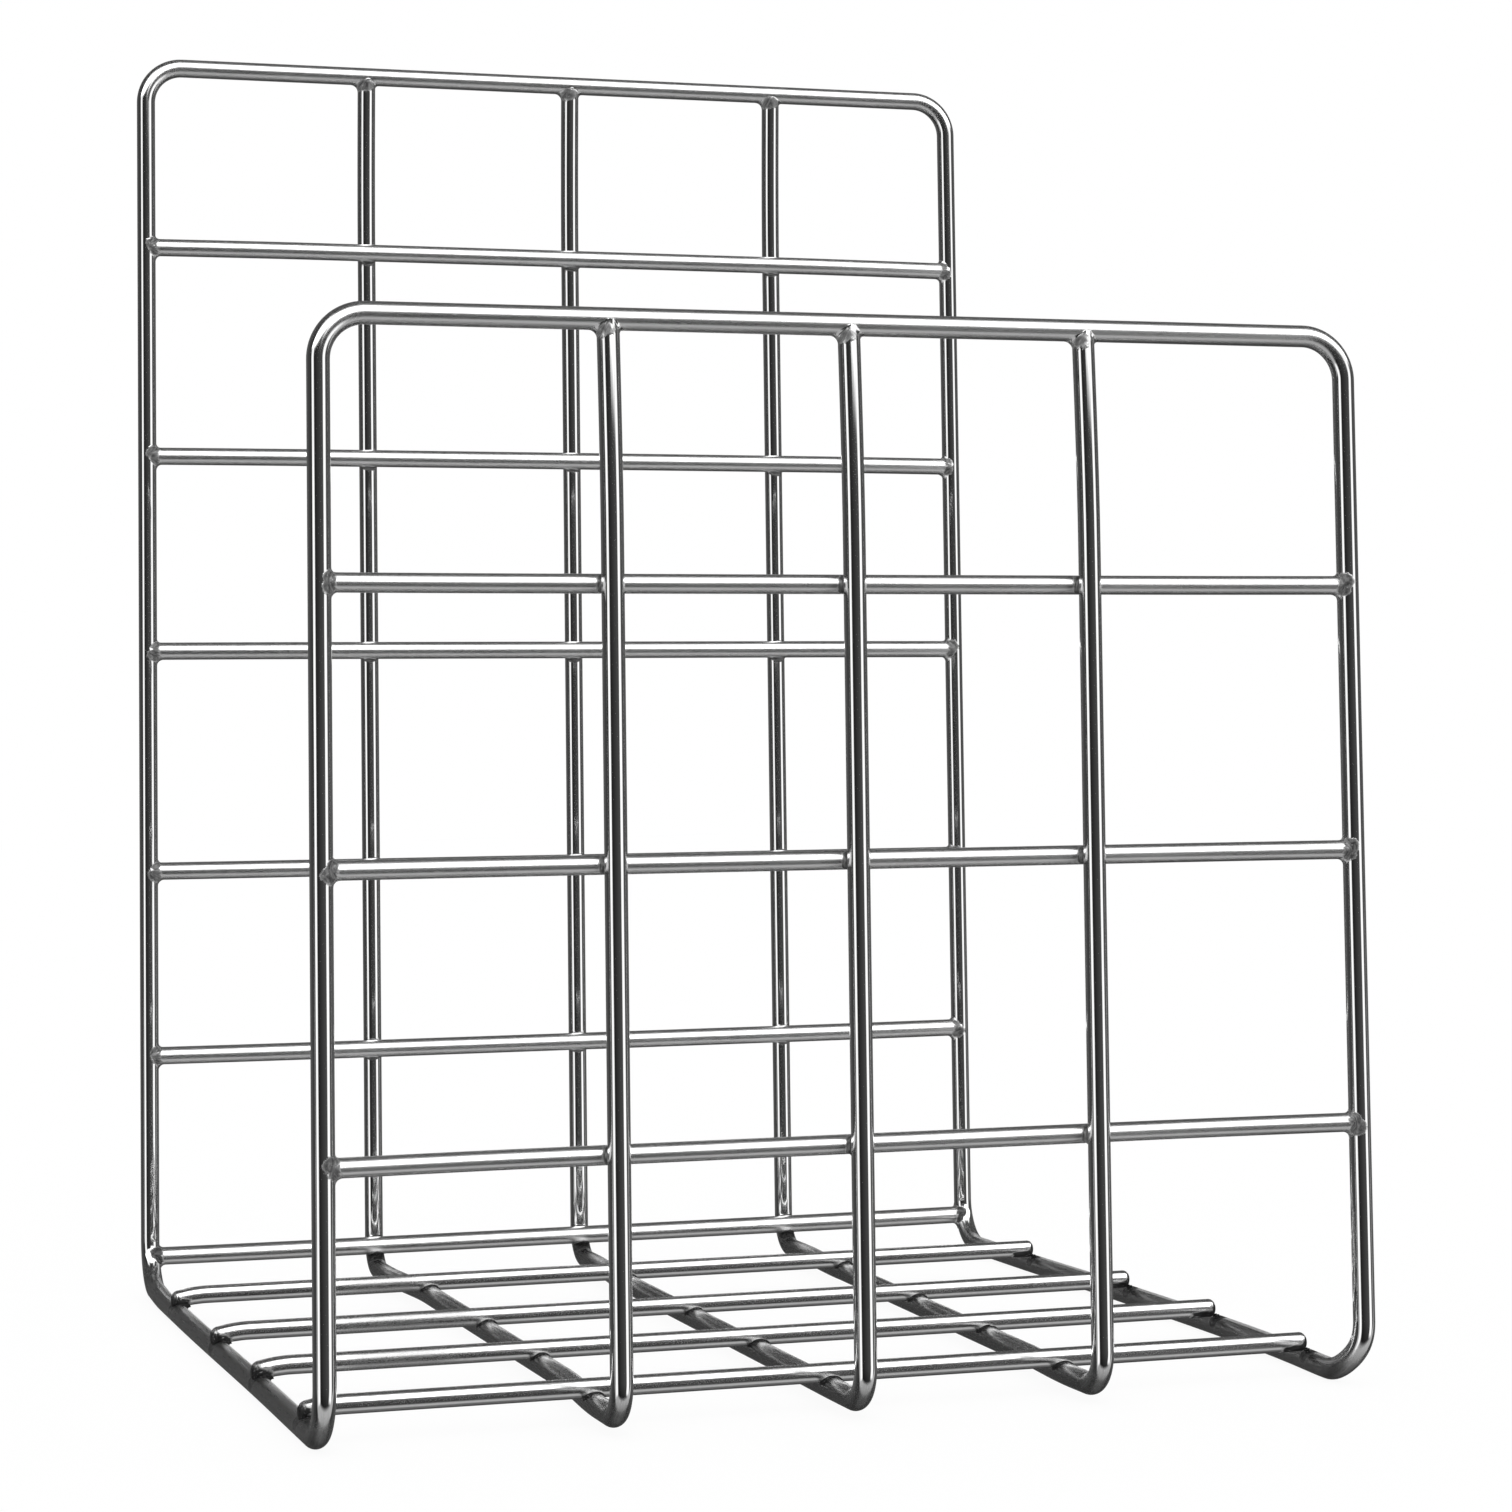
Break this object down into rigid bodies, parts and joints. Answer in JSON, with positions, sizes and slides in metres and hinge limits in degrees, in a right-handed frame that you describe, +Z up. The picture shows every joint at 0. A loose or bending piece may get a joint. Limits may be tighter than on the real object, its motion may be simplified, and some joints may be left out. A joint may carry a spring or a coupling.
{
  "type": "wire test tube rack",
  "caption": "Open-ended wire rack with a tall back grid, a floor grid and a lower front grid, welded from round polished steel wire.",
  "frame": {"origin": "middle of the footprint, on the plane that the floor wires rest on", "axes": "+Z up, +X to the right seen from the front, front (the low grid) towards -Y, tall back grid towards +Y"},
  "size_m": [0.2056, 0.2244, 0.2877],
  "materials": {
    "frame_wire": "bright polished round wire, satin at the floor bends and floor sides",
    "inner_wire": "bright polished round wire, satin along the floor",
    "cross_wire": "bright polished round wire with darker weld spots"
  },
  "bodies": {
    "root": {"perimeter_frame": "frame_wire", "inner_wire_left": "inner_wire", "inner_wire_middle": "inner_wire", "inner_wire_right": "inner_wire", "back_cross_wire_1": "cross_wire", "back_cross_wire_2": "cross_wire", "back_cross_wire_3": "cross_wire", "back_cross_wire_4": "cross_wire", "back_cross_wire_5": "cross_wire", "back_cross_wire_6": "cross_wire", "front_cross_wire_1": "cross_wire", "front_cross_wire_2": "cross_wire", "front_cross_wire_3": "cross_wire", "floor_cross_wire_1": "cross_wire", "floor_cross_wire_2": "cross_wire", "floor_cross_wire_3": "cross_wire", "floor_cross_wire_4": "cross_wire"}
  },
  "joints": []
}
